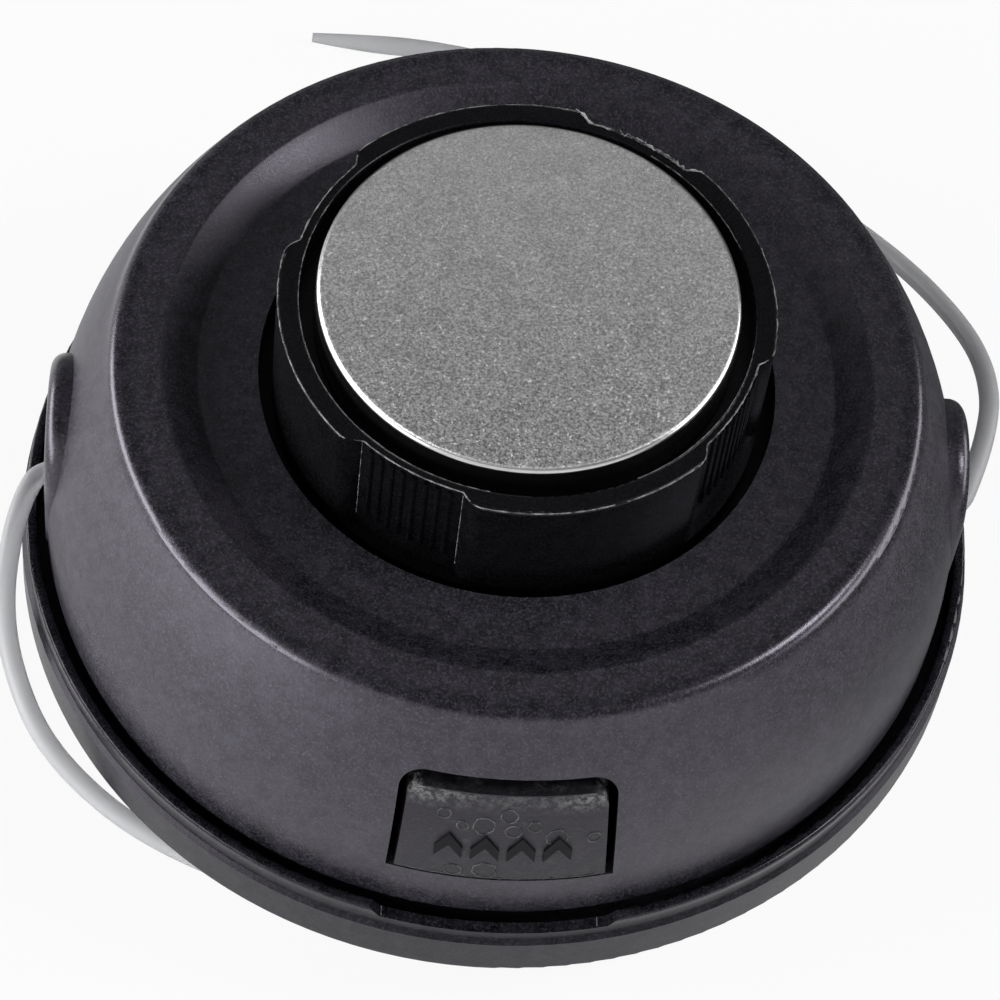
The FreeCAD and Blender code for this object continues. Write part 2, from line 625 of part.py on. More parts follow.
def bump_knob():
    sleeve_low = SPOOL_TOP + SLEEVE_LIFT
    body = turned([
        (0, PLATE_BOTTOM), (SLEEVE_IN_R, PLATE_BOTTOM), (SLEEVE_IN_R, sleeve_low), (SLEEVE_OUT_R, sleeve_low),
        (SLEEVE_OUT_R, PLATE_BOTTOM), (KNOB_IN_R, PLATE_BOTTOM), (KNOB_IN_R, SPOOL_TOP), (KNOB_R, SPOOL_TOP),
        (KNOB_R, KNOB_TOP, KNOB_ROUND), (KNOB_RING_IN_R, KNOB_TOP, KNOB_ROUND), (KNOB_RING_IN_R, PLATE_TOP),
        (BOSS_R, PLATE_TOP), (BOSS_R, BOSS_TOP), (0, BOSS_TOP),
    ])
    gap_at = KNOB_LOBE_AT + 180.0 / KNOB_LOBES
    grip_low = INNER_TOP + GRIP_LIFT
    rib = Part.makeCylinder(GRIP_RIB_R, KNOB_TOP - GRIP_DROP - grip_low, Vector(KNOB_RECESS_R, 0, grip_low))
    step = math.degrees(GRIP_PITCH / KNOB_RECESS_R)
    ribs = []
    for i in range(GRIP_RIBS):
        ribs += repeated(rib, KNOB_LOBES, gap_at + (i - (GRIP_RIBS - 1) / 2) * step)
    keyway = Part.makeBox(KEY_REACH + KEY_FIT + SLEEVE_WALL, KEY_W + 2 * KEY_FIT, NECK_H,
                          Vector(NECK_R, -KEY_W / 2 - KEY_FIT, SPOOL_TOP))
    body = body.cut(repeated(knob_recess(), KNOB_LOBES, gap_at) + repeated(keyway, KEYS))
    return body.fuse(ribs).removeSplitter()


def steel_cap():
    """Pressed cup over the knob's boss."""
    inner = CAP_R - CAP_WALL
    low = CAP_TOP - CAP_SKIRT
    return turned([
        (0, BOSS_TOP), (inner, BOSS_TOP), (inner, low), (CAP_R, low), (CAP_R, CAP_TOP, CAP_ROUND), (0, CAP_TOP),
    ])


def line_tail(name, points):
    """Free end of the line, from inside its eyelet to its cut end."""
    tail, length, bends = tube([Vector(*p) for p in points], LINE_R)
    share = tail.Volume / (math.pi * LINE_R ** 2 * length)
    print(name, "length", round(length, 1), "bend radii", bends, "volume share", round(share, 4))
    return tail


def main():
    os.makedirs("parts", exist_ok=True)
    nodes = {
        "base_housing": base_housing(),
        "drive_insert": drive_insert(),
        "cover": cover(),
        "eyelet_left": eyelet(-1),
        "eyelet_right": eyelet(1),
        "latch_front": latch(0),
        "latch_rear": latch(180),
        "spool": spool(),
        "line_winding_lower": line_winding(CHAMBER_LOW),
        "line_winding_upper": line_winding(CHAMBER_HIGH),
        "feed_spring": feed_spring(),
        "spring_washer_lower": washer(FLOOR_TOP),
        "spring_washer_upper": washer(SPRING_HIGH),
        "bump_knob": bump_knob(),
        "steel_cap": steel_cap(),
        "line_tail_left": line_tail("line_tail_left", TAIL_LEFT),
        "line_tail_right": line_tail("line_tail_right", TAIL_RIGHT),
    }
    for name, shape in nodes.items():
        shape.exportStep("parts/" + name + ".step")


main()
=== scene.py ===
# Looks of the bump feed trimmer head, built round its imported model. Lengths are millimetres
# until they reach Blender, which takes metres.
import math
import random

import bpy
from mathutils import Matrix, Vector


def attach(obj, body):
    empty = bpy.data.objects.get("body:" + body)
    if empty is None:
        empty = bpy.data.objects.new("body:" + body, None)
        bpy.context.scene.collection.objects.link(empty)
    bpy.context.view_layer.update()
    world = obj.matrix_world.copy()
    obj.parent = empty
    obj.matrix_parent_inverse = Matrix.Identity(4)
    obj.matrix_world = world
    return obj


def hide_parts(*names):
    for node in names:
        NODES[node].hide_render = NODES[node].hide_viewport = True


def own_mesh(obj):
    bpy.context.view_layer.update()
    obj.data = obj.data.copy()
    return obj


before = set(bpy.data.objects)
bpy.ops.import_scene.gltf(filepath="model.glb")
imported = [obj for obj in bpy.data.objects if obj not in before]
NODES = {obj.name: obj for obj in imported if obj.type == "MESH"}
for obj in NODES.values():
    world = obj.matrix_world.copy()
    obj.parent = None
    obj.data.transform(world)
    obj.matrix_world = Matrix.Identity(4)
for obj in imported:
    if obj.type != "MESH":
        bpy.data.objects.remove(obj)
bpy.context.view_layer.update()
MM = 0.001

# Camera, from the photograph's perspective
VIEW_AZIMUTH = -6.4
VIEW_ELEVATION = 57.06
VIEW_ROLL = 8.25
VIEW_DISTANCE = 464.9
VIEW_TARGET = Vector((0.17, 1.31, 18.46))
VIEW_NEAR = 10.0
LENS = 144.0
SENSOR = 36.0

# Line: the tip is the share of the radius that is left at the free end
LINE_R = 1.2
TAIL_LEFT = [
    (-49.0, 0.0, 22.5), (-52.8, 0.0, 22.5), (-54.6, -4.0, 22.1), (-55.7, -9.5, 20.8),
    (-56.0, -16.0, 18.2), (-54.6, -22.4, 15.2), (-51.0, -29.2, 11.4), (-44.6, -34.6, 8.0),
    (-37.2, -38.8, 6.1), (-27.4, -41.9, 4.0), (-17.2, -42.8, 2.4), (-6.8, -41.4, 1.6),
    (3.6, -38.2, 1.35), (12.4, -33.4, 1.35), (19.8, -27.0, 1.35), (25.6, -19.4, 1.4),
]
TAIL_RIGHT = [
    (49.0, 0.0, 22.5), (53.0, 0.0, 22.5), (55.2, 5.4, 22.3), (57.2, 11.6, 21.4),
    (58.6, 18.4, 19.7), (58.2, 26.4, 17.2), (55.4, 34.6, 14.4), (50.6, 43.6, 11.2),
    (43.6, 52.6, 8.2), (34.6, 61.0, 5.6), (24.4, 68.6, 3.5), (13.4, 75.0, 2.1),
    (2.6, 79.4, 1.5), (-8.6, 81.7, 1.35), (-17.0, 82.0, 1.35), (-23.8, 82.5, 1.4),
]
TAIL_LEFT_LENGTH = 125.3
TAIL_RIGHT_LENGTH = 139.5
TAIL_LEFT_TIP = 1.0
TAIL_RIGHT_TIP = 0.5

# Knob, as in the solid: its moulding flash runs along these edges
KNOB_TOP = 60.0
KNOB_R = 27.0
KNOB_RECESS = 1.4
KNOB_RING_IN_R = 24.6
KNOB_LOBES = 4
KNOB_LOBE_AT = 16.3
KNOB_LOBE_DEG = 52.5
KNOB_EASE_DEG = 5.0
KNOB_HOLE_Z = 46.0
KNOB_EDGE_CUT = 0.117

# Flash on the knob: the degrees that each run covers, the radius of the flash, how far it strays
# from its edge, and the spacing of points up a recess corner
RIM_RUNS = ((0, 118), (120, 196), (198, 291), (293, 360))
RIM_FLASH_R = 0.10
RIM_STRAY = (-0.04, 0.03)
RING_RUNS = ((150, 205), (225, 262), (298, 352), (20, 58))
RING_FLASH_R = 0.07
RING_STRAY = (-0.05, 0.02)
CORNER_FLASH_R = 0.05
CORNER_PROUD = 0.03
CORNER_STEP = (0.8, 1.6)
BURR_RUNS = ((44, 52), (50, 61), (60, 66), (66, 79))
BURR_STEPS = 12
BURR_R = 0.13
BURR_STRAY = (-0.1, 0.22)
FLASH_SPREAD = (0.6, 1.1)

# Steel cap, as in the solid, and the width of its polished edge and of the change to the face
CAP_R = 22.9
CAP_POLISH = 0.3
CAP_FADE = 0.2

# Press tabs and the rim's notch, as in the solids
TAB_LOW = 26.0
TAB_HIGH = 39.2
NOTCH_HALF = 12.5
NOTCH_LOW = 18.2
LIP_MID_R = 53.85

# A tab's face is looked for from this far in front of the axis
TAB_LOOK_FROM = 80.0

# Press mark on each tab: a row of chevrons
CHEVRONS = 4
CHEVRON_PITCH = 3.9
CHEVRON_HALF = 1.5
CHEVRON_RISE = 2.0
CHEVRON_STROKE = 1.7
CHEVRON_Z = 29.6
CHEVRON_PROUD = 0.3
CHEVRON_SUNK = 0.3

# Gate and bubble marks on the front tab: across, height and radius
BUBBLES = [
    (-2.3, 34.8, 1.15), (0.9, 34.2, 0.85), (3.1, 34.9, 0.75), (5.6, 33.2, 1.15), (9.6, 32.8, 0.7),
    (-4.6, 34.6, 0.6), (0.3, 36.4, 0.9), (-5.1, 27.1, 0.9), (-1.7, 27.5, 1.3), (-6.6, 36.0, 0.7),
]
BUBBLE_FLASH_R = 0.10
BUBBLE_SPREAD = (0.92, 1.08)
BUBBLE_PROUD = 0.01
BUBBLE_STEP_DEG = 15

# Ragged edges of the front tab: start and end across, and height
TAB_EDGES = (
    (-9.6, -2.6, TAB_HIGH - 0.25), (3.4, 9.4, TAB_HIGH - 0.25),
    (-11.0, 2.2, TAB_LOW + 0.22), (3.6, 11.0, TAB_LOW + 0.22),
)
TAB_EDGE_R = 0.09
TAB_EDGE_RISE = (-0.18, 0.12)
TAB_EDGE_PROUD = (-0.08, 0.03)
TAB_EDGE_STEP = (0.25, 0.6)

# Rubbed top corners of the tabs: depth below the top where the wear starts and is full, distance
# across where it starts and is full, its share in the middle, and the clean strip along the top
RUB_START = 2.8
RUB_FULL = 0.3
RUB_ACROSS = (3.0, 8.5)
RUB_MIDDLE = 0.35
RUB_CLEAN = (0.25, 0.05)

# Knit lines in the rim's notch: distance from its ends, and points along the lip and above its floor
KNIT_LEFT_IN = 0.2
KNIT_RIGHT_IN = 1.2
KNIT_RUN = ((-0.5, 0.05), (0.0, 0.06), (0.6, 0.03))
KNIT_R = 0.08

# Plastic: colours, violet gloss, and the spread of its roughness and the depth of its grain
BLACK = (0.0034, 0.0032, 0.0042)
KNOB_BLACK = (0.0028, 0.0028, 0.0034)
MARK_BLACK = (0.003, 0.003, 0.004)
SPECK = (0.3, 0.3, 0.3)
SCUFF = (0.06, 0.06, 0.06)
RUBBED = (0.22, 0.22, 0.22)
PLASTIC_GLEAM = (0.92, 0.86, 1.0)
BARE_SHARE = 0.4
ROUGH_SPREAD = 0.07
GRAIN_DEPTH = 0.06
TORN_DEPTH = 0.12
COVER_IOR = 1.68
BASE_IOR = 1.34
TAB_IOR = 1.55
KNOB_IOR = 1.36
MARK_IOR = 1.3

# Polished places on the cover and the base: radius and height of a ring round the axis, the two
# distances from it between which the polish changes, and the share of the roughness kept at each
SHOULDER_POLISH = dict(radius=44.5, height=48.4, near=1.2, far=2.4, near_share=0.56, far_share=1.0)
HOOD_POLISH = dict(radius=2.8, height=21.8, near=49.5, far=50.3, near_share=1.0, far_share=0.6)
STEP_POLISH = dict(radius=37.2, height=47.2, near=1.4, far=2.6, near_share=0.78, far_share=1.0)
LIP_POLISH = dict(radius=54.2, height=19.2, near=0.6, far=1.2, near_share=0.45, far_share=1.0)

# Metal
CAP_DULL = (0.54, 0.535, 0.535)
CAP_PALE = (0.69, 0.685, 0.685)
CAP_DARK = (0.12, 0.117, 0.117)
# Colour of the painted glints on the cap
CAP_PAINTED_GLINT = (1.0, 1.0, 1.0)
# Share of the cap's painted front shade and painted glints that is kept at the back
CAP_BACK_PAINTED_LIGHT = 0.45
CAP_EDGE_ROUGH = 0.2
CAP_GRAIN_DEPTH = 0.14
STEEL = (0.45, 0.45, 0.46)
EYELET_STEEL = (0.62, 0.62, 0.64)

# Nylon line
LINE_GREY = (0.70, 0.71, 0.74)
LINE_WHITE = (0.78, 0.78, 0.79)
LINE_IOR = 1.53

# Studio: size of the floor in metres, its brightness in reflections, dimmer back and right, and the
# brightness of the room, which falls towards one direction
WHITE = (1.0, 1.0, 1.0)
FLOOR_SIZE = 6.0
FLOOR_GREY = (0.86, 0.86, 0.86)
FLOOR_WHITE = 0.91
FLOOR_FADE = (0.0, 0.10)
FLOOR_RIGHT = 0.06
ROOM_LOW = 0.95
ROOM_HIGH = 0.16
ROOM_DIM_WAY = (0.25, 0.35, 1.0)
ROOM_FADE = (0.0, 0.55)
LIGHT_DISTANCE = 0.9


class Nodes:
    """Short way to add and link shader nodes in one tree."""

    def __init__(self, tree):
        self.tree = tree

    def add(self, kind, **inputs):
        node = self.tree.nodes.new("ShaderNode" + kind)
        for name, value in inputs.items():
            node.inputs[name.replace("_", " ")].default_value = value
        return node

    def link(self, source, target):
        self.tree.links.new(source, target)

    def math(self, operation, first, second):
        """Result of a sum on two values, each a socket or a number."""
        node = self.add("Math")
        node.operation = operation
        for socket, value in zip(node.inputs, (first, second)):
            if isinstance(value, (int, float)):
                socket.default_value = value
            else:
                self.link(value, socket)
        return node.outputs[0]


def new_material(name):
    material = bpy.data.materials.new(name)
    material.use_nodes = True
    material.node_tree.nodes.clear()
    nodes = Nodes(material.node_tree)
    shader = nodes.add("BsdfPrincipled")
    output = nodes.add("OutputMaterial")
    nodes.link(shader.outputs["BSDF"], output.inputs["Surface"])
    return material, nodes, shader


def place(nodes):
    """Coordinates in the part's own frame, in millimetres."""
    coordinate = nodes.add("TexCoord")
    scale = nodes.add("VectorMath")
    scale.operation = "SCALE"
    scale.inputs["Scale"].default_value = 1 / MM
    nodes.link(coordinate.outputs["Object"], scale.inputs[0])
    return scale.outputs["Vector"]


def noise(nodes, where, size, detail=3.0, rough=0.6):
    """Noise whose blobs are about size millimetres across."""
    node = nodes.add("TexNoise", Scale=1.0 / size, Detail=detail, Roughness=rough)
    nodes.link(where, node.inputs["Vector"])
    return node.outputs["Fac"]


def ramp(nodes, value, low, high, start=0.0, end=1.0):
    """Value mapped from low..high to start..end, clamped."""
    node = nodes.add("MapRange", From_Min=low, From_Max=high, To_Min=start, To_Max=end)
    nodes.link(value, node.inputs["Value"])
    return node.outputs["Result"]


def colour(shade, share=1.0):
    """Opaque colour that is a share of a shade."""
    return (shade[0] * share, shade[1] * share, shade[2] * share, 1)


def colour_socket(sockets, name):
    return next(s for s in sockets if s.type == "RGBA" and s.name == name)


def mixed(nodes, factor, first, second):
    """Colour between two others, each a socket or a constant."""
    node = nodes.add("Mix")
    node.data_type = "RGBA"
    nodes.link(factor, next(s for s in node.inputs if s.name == "Factor" and s.type == "VALUE"))
    for name, value in (("A", first), ("B", second)):
        socket = colour_socket(node.inputs, name)
        if isinstance(value, tuple):
            socket.default_value = value
        else:
            nodes.link(value, socket)
    return colour_socket(node.outputs, "Result")


def bump(nodes, shader, height, strength, depth):
    node = nodes.add("Bump", Strength=strength, Distance=depth * MM)
    nodes.link(height, node.inputs["Height"])
    nodes.link(node.outputs["Normal"], shader.inputs["Normal"])


def split(nodes, where):
    """Node with a place's X, Y and Z as its outputs."""
    node = nodes.add("SeparateXYZ")
    nodes.link(where, node.inputs[0])
    return node


def flat_length(nodes, across, along):
    """Length of the vector with these two parts."""
    flat = nodes.add("CombineXYZ")
    nodes.link(across, flat.inputs["X"])
    nodes.link(along, flat.inputs["Y"])
    size = nodes.add("VectorMath")
    size.operation = "LENGTH"
    nodes.link(flat.outputs[0], size.inputs[0])
    return size.outputs["Value"]


def off_ring(nodes, where, radius, height):
    """Distance from a ring round the part's axis."""
    apart = split(nodes, where)
    reach = flat_length(nodes, apart.outputs["X"], apart.outputs["Y"])
    outward = nodes.math("SUBTRACT", reach, radius)
    upward = nodes.math("SUBTRACT", apart.outputs["Z"], height)
    return flat_length(nodes, outward, upward)


def polished(nodes, where, rough, radius, height, near, far, near_share, far_share):
    """Roughness times a share that changes with the distance from a ring."""
    off = off_ring(nodes, where, radius, height)
    return nodes.math("MULTIPLY", rough, ramp(nodes, off, near, far, near_share, far_share))


def gleam(shader, ior):
    """Slightly violet gloss."""
    shader.inputs["IOR"].default_value = ior
    shader.inputs["Specular Tint"].default_value = colour(PLASTIC_GLEAM)


def black_plastic(name, shade, ior, roughness, grain, dusty=1.6, specks=0.0, polish=()):
    """Moulded black nylon: a patchy film of dust, fine grain, light specks and polished places."""
    material, nodes, shader = new_material(name)
    where = place(nodes)
    fine = noise(nodes, where, size=0.3, detail=4.0)
    film = ramp(nodes, noise(nodes, where, size=2.2, detail=6.0, rough=0.85), 0.42, 0.70)
    filmed = mixed(nodes, film, colour(shade, BARE_SHARE), colour(shade, dusty))
    grains = mixed(nodes, ramp(nodes, fine, 0.5, 0.75), filmed, colour(shade, 2 * dusty))
    light = ramp(nodes, noise(nodes, where, size=0.45, detail=1.0), 0.72, 0.78, end=specks)
    nodes.link(mixed(nodes, light, grains, colour(SPECK)), shader.inputs["Base Color"])
    rough = ramp(nodes, fine, 0.3, 0.7, roughness - ROUGH_SPREAD, roughness + ROUGH_SPREAD)
    for ring in polish:
        rough = polished(nodes, where, rough, **ring)
    nodes.link(rough, shader.inputs["Roughness"])
    gleam(shader, ior)
    bump(nodes, shader, fine, grain, GRAIN_DEPTH)
    return material


def worn_plastic(name, shade):
    """Press tab: nylon with pale scuffs, thickest at the top corners."""
    material, nodes, shader = new_material(name)
    where = place(nodes)
    fine = noise(nodes, where, size=0.4, detail=4.0)
    blotch = noise(nodes, where, size=1.6, detail=4.0, rough=0.7)
    torn = noise(nodes, where, size=0.8, detail=5.0, rough=0.75)
    apart = split(nodes, where)
    across = nodes.math("ABSOLUTE", apart.outputs["X"], 0)
    height = apart.outputs["Z"]
    near_top = ramp(nodes, height, TAB_HIGH - RUB_START, TAB_HIGH - RUB_FULL)
    near_side = ramp(nodes, across, *RUB_ACROSS, start=RUB_MIDDLE)
    below_edge = ramp(nodes, height, TAB_HIGH - RUB_CLEAN[0], TAB_HIGH - RUB_CLEAN[1], start=1.0, end=0.0)
    corner = nodes.math("MULTIPLY", nodes.math("MULTIPLY", near_top, near_side), below_edge)
    wear_and_painted_light = mixed(nodes, ramp(nodes, blotch, 0.56, 0.72, end=0.5), colour(shade), colour(SCUFF))
    rubbed = nodes.math("MULTIPLY", ramp(nodes, torn, 0.44, 0.60), corner)
    nodes.link(mixed(nodes, rubbed, wear_and_painted_light, colour(RUBBED)), shader.inputs["Base Color"])
    nodes.link(ramp(nodes, blotch, 0.35, 0.65, 0.36, 0.56), shader.inputs["Roughness"])
    gleam(shader, TAB_IOR)
    rough = nodes.math("ADD", fine, nodes.math("MULTIPLY", torn, nodes.math("ADD", corner, 0.3)))
    bump(nodes, shader, rough, 0.6, TORN_DEPTH)
    return material


def steel_face(name):
    """Blasted steel disc with a polished edge: fine dark grain and white painted glints, both heavier towards
    the front, where the extra dark grain is painted shade.
    """
    material, nodes, shader = new_material(name)
    where = place(nodes)
    grain = noise(nodes, where, size=0.3, detail=5.0, rough=0.8)
    glint = noise(nodes, where, size=0.42, detail=3.0, rough=0.7)
    blotch = noise(nodes, where, size=3.0, detail=5.0, rough=0.7)
    apart = split(nodes, where)
    reach = flat_length(nodes, apart.outputs["X"], apart.outputs["Y"])
    face_r = CAP_R - CAP_POLISH
    face = ramp(nodes, reach, face_r, face_r - CAP_FADE)
    # Painted shade: more dark grain towards the front of the face, fading towards the back
    front = ramp(nodes, apart.outputs["Y"], -CAP_R, CAP_R, start=1.0, end=CAP_BACK_PAINTED_LIGHT)
    wear_and_painted_light = nodes.math("MULTIPLY", front, face)
    pale = mixed(nodes, ramp(nodes, blotch, 0.3, 0.7), colour(CAP_DULL), colour(CAP_PALE))
    dark_grain_and_painted_shade = nodes.math("MULTIPLY", ramp(nodes, grain, 0.40, 0.62, start=1.0, end=0.0), wear_and_painted_light)
    grainy = mixed(nodes, dark_grain_and_painted_shade, pale, colour(CAP_DARK))
    # Painted highlights: white glints in the steel's colour, more towards the front
    painted_glints = nodes.math("MULTIPLY", ramp(nodes, glint, 0.60, 0.68), wear_and_painted_light)
    nodes.link(mixed(nodes, painted_glints, grainy, colour(CAP_PAINTED_GLINT)), shader.inputs["Base Color"])
    shader.inputs["Metallic"].default_value = 1.0
    rough = nodes.math("MULTIPLY", ramp(nodes, grain, 0.3, 0.7, 0.6, 0.46), face)
    nodes.link(nodes.math("MAXIMUM", rough, CAP_EDGE_ROUGH), shader.inputs["Roughness"])
    bump(nodes, shader, nodes.math("MULTIPLY", grain, face), 0.9, CAP_GRAIN_DEPTH)
    return material


def plain_steel(name, shade):
    """Bright steel, a little rougher and smoother in places."""
    material, nodes, shader = new_material(name)
    fine = noise(nodes, place(nodes), size=0.8)
    shader.inputs["Base Color"].default_value = colour(shade)
    shader.inputs["Metallic"].default_value = 1.0
    nodes.link(ramp(nodes, fine, 0.3, 0.7, 0.28, 0.45), shader.inputs["Roughness"])
    return material


def nylon_line(name):
    """Translucent grey-white nylon with faint streaks."""
    material, nodes, shader = new_material(name)
    streak = noise(nodes, place(nodes), size=2.5)
    nodes.link(mixed(nodes, streak, colour(LINE_GREY), colour(LINE_WHITE)), shader.inputs["Base Color"])
    shader.inputs["Transmission Weight"].default_value = 0.6
    shader.inputs["IOR"].default_value = LINE_IOR
    shader.inputs["Roughness"].default_value = 0.45
    return material


def pale_flash(name, low, high):
    """Thin nylon flash and scuffs, which scatter light and look pale; low and high are its greys."""
    material, nodes, shader = new_material(name)
    patchy = noise(nodes, place(nodes), size=1.3, detail=3.0, rough=0.7)
    strength = ramp(nodes, patchy, 0.38, 0.62)
    flash = mixed(nodes, strength, colour(WHITE, low), colour(WHITE, high))
    nodes.link(flash, shader.inputs["Base Color"])
    shader.inputs["Roughness"].default_value = 0.6
    return material


def add_piece(name, data, body, material):
    piece = bpy.data.objects.new(name, data)
    bpy.context.scene.collection.objects.link(piece)
    data.materials.append(material)
    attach(piece, body)
    return piece


def cord_curve(name, points, tip, material):
    """Line tail as one smooth spline on the route's points."""
    data = bpy.data.curves.new(name, "CURVE")
    data.dimensions = "3D"
    data.bevel_depth = LINE_R * MM
    data.bevel_resolution = 6
    data.use_fill_caps = True
    data.resolution_u = 12
    spline = data.splines.new("NURBS")
    spline.points.add(len(points) - 1)
    for point, place_mm in zip(spline.points, points):
        point.co = (*(c * MM for c in place_mm), 1)
    spline.order_u = 3
    spline.use_endpoint_u = True
    spline.points[-1].radius = tip
    curve = add_piece(name, data, "housing", material)
    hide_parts(name.replace("line", "line_tail"))
    return curve


def ragged_curves(name, runs, radius, body, material):
    """Thin lines through runs of points, thicker and thinner along the way."""
    data = bpy.data.curves.new(name, "CURVE")
    data.dimensions = "3D"
    data.bevel_depth = radius * MM
    data.bevel_resolution = 1
    data.use_fill_caps = True
    chance = random.Random(name)
    for run in runs:
        spline = data.splines.new("POLY")
        spline.points.add(len(run) - 1)
        for point, place_mm in zip(spline.points, run):
            point.co = (*(c * MM for c in place_mm), 1)
            point.radius = chance.uniform(*FLASH_SPREAD)
    return add_piece(name, data, body, material)


def polar(radius, degrees, z):
    angle = math.radians(degrees)
    return (radius * math.cos(angle), radius * math.sin(angle), z)


def spring_coil(material):
    """Feed spring: a copy of the model's spring, attached to the housing."""
    spring = NODES["feed_spring"]
    data = spring.data.copy()
    data.materials.clear()
    data.transform(spring.matrix_world)
    coil = add_piece("spring_coil", data, "housing", material)
    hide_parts("feed_spring")
    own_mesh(coil)


def knob_edge(degrees, lift):
    """Point on the knob's top outer edge, where rounded lobes ease into sharp recesses."""
    spacing = 360.0 / KNOB_LOBES
    off_lobe = abs((degrees - KNOB_LOBE_AT + spacing / 2) % spacing - spacing / 2)
    into_recess = min(max((off_lobe - KNOB_LOBE_DEG / 2) / KNOB_EASE_DEG, 0), 1)
    rounded = KNOB_EDGE_CUT * (1 - into_recess)
    radius = KNOB_R - KNOB_RECESS * into_recess ** 2 - rounded
    return polar(radius + lift, degrees, KNOB_TOP - rounded + lift)


def recess_corners():
    """Angles of the two upright corners of each recess in the knob."""
    half = 180.0 / KNOB_LOBES - KNOB_LOBE_DEG / 2 - KNOB_EASE_DEG
    for lobe in range(KNOB_LOBES):
        middle = KNOB_LOBE_AT + (lobe + 0.5) * 360.0 / KNOB_LOBES
        yield middle - half
        yield middle + half


def knob_flash(material):
    """Moulding flash along the knob's rim, the ring's inner edge and the recess corners."""
    chance = random.Random(5)
    rim = []
    for start, end in RIM_RUNS:
        rim.append([knob_edge(a, chance.uniform(*RIM_STRAY)) for a in range(start, end)])
    inner = []
    inner_r = KNOB_RING_IN_R + KNOB_EDGE_CUT
    inner_z = KNOB_TOP - KNOB_EDGE_CUT
    for start, end in RING_RUNS:
        inner.append([polar(inner_r, a, inner_z + chance.uniform(*RING_STRAY)) for a in range(start, end)])
    uprights = []
    for angle in recess_corners():
        z = KNOB_HOLE_Z
        run = []
        while z < KNOB_TOP:
            run.append(polar(KNOB_R - KNOB_RECESS + CORNER_PROUD, angle, z))
            z += chance.uniform(*CORNER_STEP)
        uprights.append(run)
    ragged_curves("knob_rim_flash", rim, RIM_FLASH_R, "spool_unit", material)
    ragged_curves("knob_ring_flash", inner, RING_FLASH_R, "spool_unit", material)
    ragged_curves("knob_corner_flash", uprights, CORNER_FLASH_R, "spool_unit", material)


def knob_burrs(material):
    """Rough torn flash along the top of one recess."""
    chance = random.Random(3)
    runs = []
    for start, end in BURR_RUNS:
        angles = [start + k * (end - start) / BURR_STEPS for k in range(BURR_STEPS + 1)]
        runs.append([knob_edge(a, chance.uniform(*BURR_STRAY)) for a in angles])
    ragged_curves("knob_burrs", runs, BURR_R, "spool_unit", material)


def on_tab(node, turn, across, height):
    """Point and outward direction on a press tab's face; the turn is 0 in front and 180 behind."""
    tab = NODES[node]
    about = Matrix.Rotation(math.radians(turn), 3, "Z")
    start = about @ Vector((across, -TAB_LOOK_FROM, height)) * MM
    way = about @ Vector((0, 1, 0))
    back = tab.matrix_world.inverted()
    hit, spot, normal, _ = tab.ray_cast(back @ start, back.to_3x3() @ way)
    if not hit:
        raise ValueError("no face on " + node)
    return tab.matrix_world @ spot / MM, (tab.matrix_world.to_3x3() @ normal).normalized()


def chevron_outline(middle):
    """Corners of a chevron: along its lower edge, then back along its upper one."""
    low = CHEVRON_Z
    high = low + CHEVRON_RISE
    return [
        (middle - CHEVRON_HALF, low), (middle, high), (middle + CHEVRON_HALF, low),
        (middle + CHEVRON_HALF, low + CHEVRON_STROKE), (middle, high + CHEVRON_STROKE),
        (middle - CHEVRON_HALF, low + CHEVRON_STROKE),
    ]


def press_mark(name, node, turn, body, material):
    """Row of raised chevrons on a press tab, each with two arms of four corners."""
    points = []
    faces = []
    for i in range(CHEVRONS):
        outline = chevron_outline((i - (CHEVRONS - 1) / 2) * CHEVRON_PITCH)
        first = len(points)
        count = len(outline)
        for shift in (-CHEVRON_SUNK, CHEVRON_PROUD):
            for across, height in outline:
                spot, out = on_tab(node, turn, across, height)
                points.append((spot + out * shift) * MM)
        low = [first + k for k in range(count)]
        high = [v + count for v in low]
        for k in range(count):
            after = (k + 1) % count
            faces.append((low[k], low[after], high[after], high[k]))
        for side in (low[::-1], high):
            faces.append((side[0], side[1], side[4], side[5]))
            faces.append((side[1], side[2], side[3], side[4]))
    mesh = bpy.data.meshes.new(name)
    mesh.from_pydata(points, [], faces)
    add_piece(name, mesh, body, material)


def tab_scuffs(material):
    """Pale gate rings and ragged top and bottom edges on the front tab."""
    chance = random.Random(11)
    rings = []
    for across, height, radius in BUBBLES:
        run = []
        for degrees in range(0, 360 + BUBBLE_STEP_DEG, BUBBLE_STEP_DEG):
            aside, above, _ = polar(radius * chance.uniform(*BUBBLE_SPREAD), degrees, 0)
            spot, out = on_tab("latch_front", 0, across + aside, height + above)
            run.append(spot + out * BUBBLE_PROUD)
        rings.append(run)
    ragged_curves("tab_rings", rings, BUBBLE_FLASH_R, "front_latch", material)
    edges = []
    for start, end, height in TAB_EDGES:
        run = []
        across = start
        while across < end:
            spot, out = on_tab("latch_front", 0, across, height + chance.uniform(*TAB_EDGE_RISE))
            run.append(spot + out * chance.uniform(*TAB_EDGE_PROUD))
            across += chance.uniform(*TAB_EDGE_STEP)
        edges.append(run)
    ragged_curves("tab_edges", edges, TAB_EDGE_R, "front_latch", material)


def notch_marks(material):
    """Pale knit lines at the ends of the rim's front notch."""
    runs = []
    for across in (-NOTCH_HALF + KNIT_LEFT_IN, NOTCH_HALF - KNIT_RIGHT_IN):
        y = -math.sqrt(LIP_MID_R ** 2 - across ** 2)
        runs.append([(across, y + along, NOTCH_LOW + above) for along, above in KNIT_RUN])
    ragged_curves("notch_marks", runs, KNIT_R, "housing", material)


def assign(material, *names):
    """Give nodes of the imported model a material."""
    for name in names:
        mesh = NODES[name].data
        mesh.materials.clear()
        mesh.materials.append(material)


